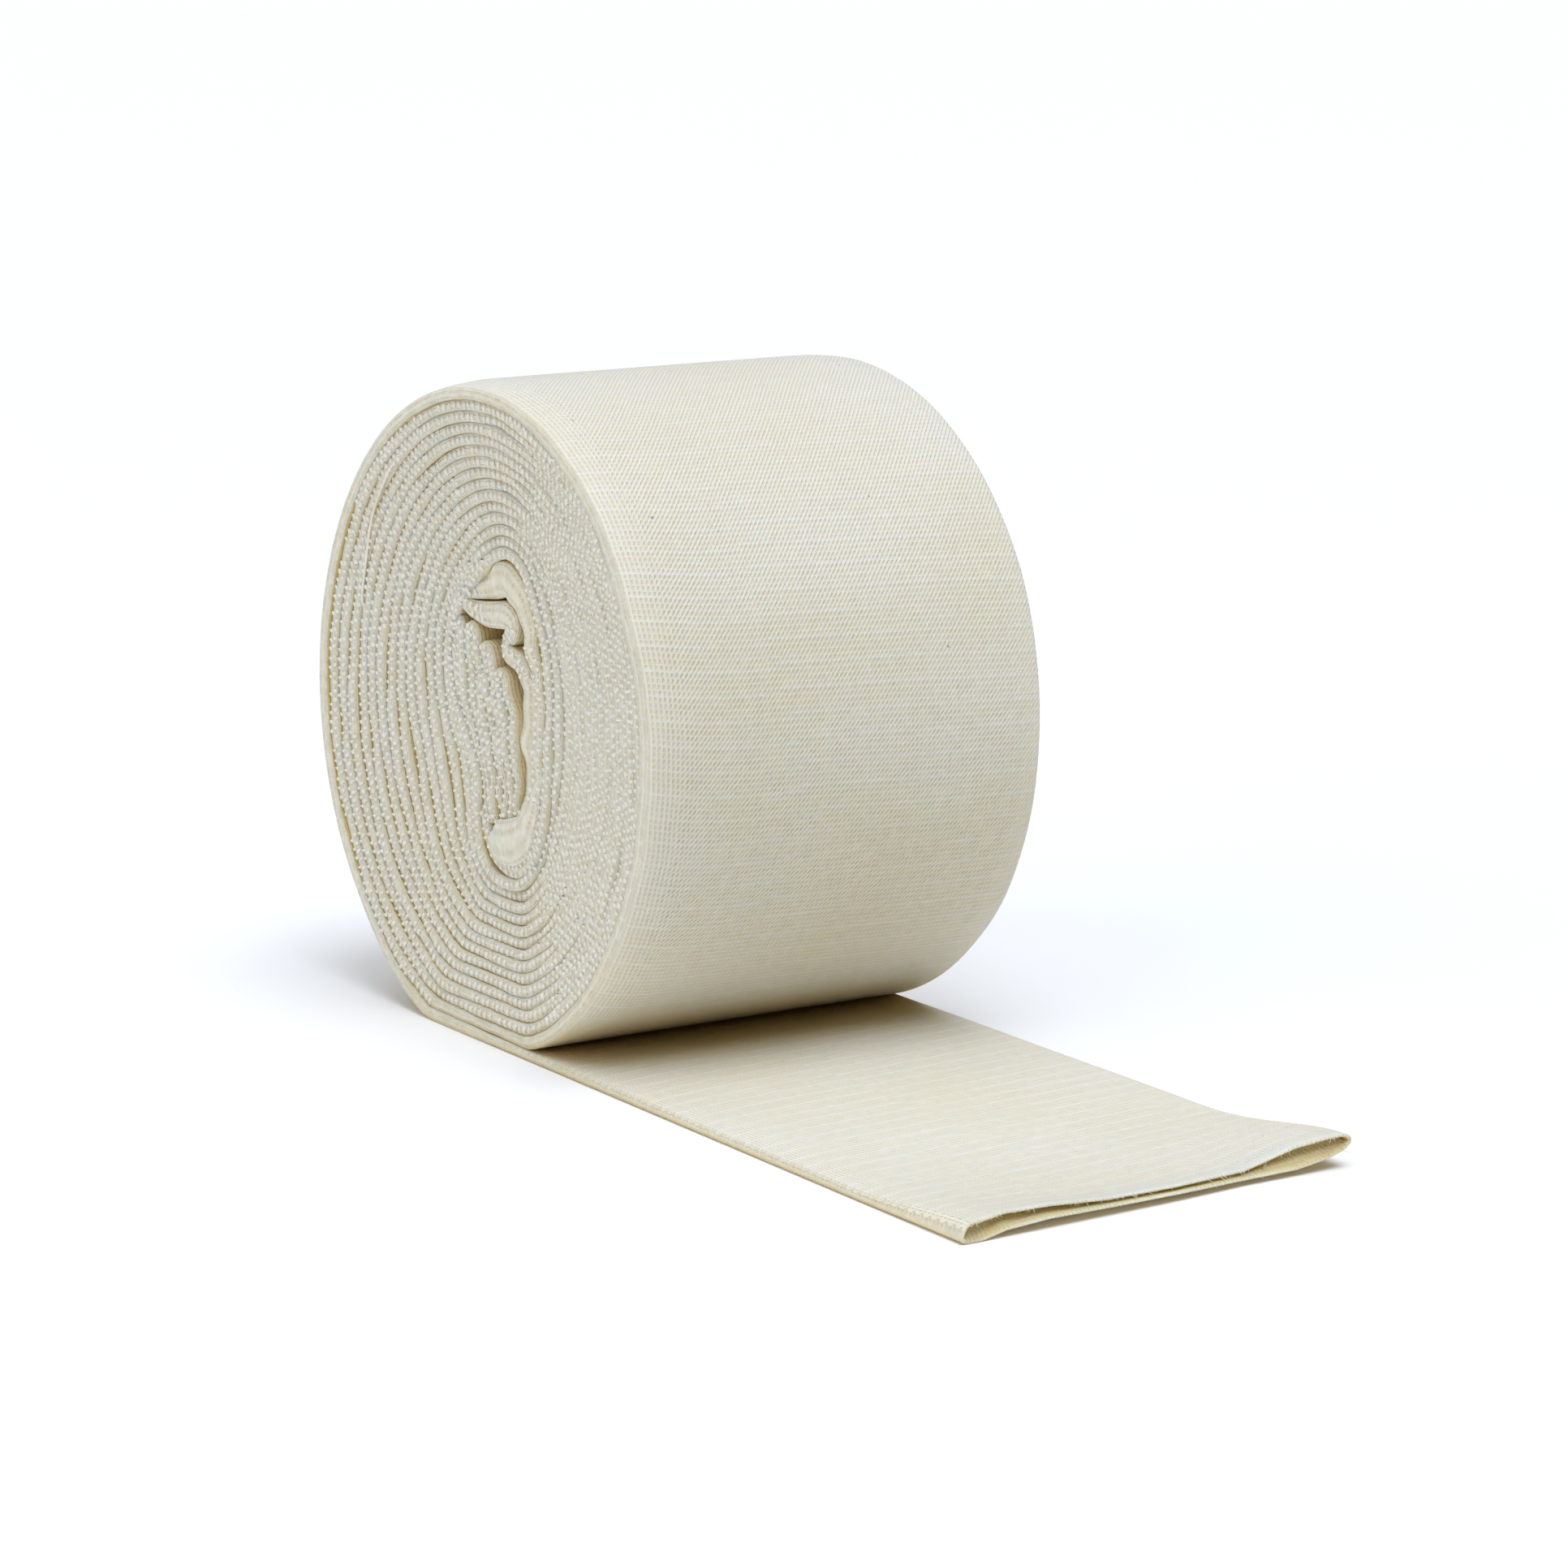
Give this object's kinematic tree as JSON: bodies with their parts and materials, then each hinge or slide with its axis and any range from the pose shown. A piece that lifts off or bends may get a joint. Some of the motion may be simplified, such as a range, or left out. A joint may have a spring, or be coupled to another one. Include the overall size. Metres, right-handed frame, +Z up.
{
  "type": "tubular support bandage roll",
  "caption": "Roll of elasticated knitted tubular bandage, pressed flat and wound up, with its open cut end pulled out along the table.",
  "frame": {"origin": "on the table, under the middle of the whole object's box", "axes": "+X along the roll's axis towards its right end, -Y the way the cut end is pulled out, +Z up"},
  "size_m": [0.075, 0.1928, 0.1097],
  "materials": {
    "knitted_cotton": "unbleached cotton knit with a brighter elastic thread across the tube every fourth row, matt"
  },
  "bodies": {
    "root": {"tubular_bandage": "knitted_cotton"}
  },
  "joints": []
}
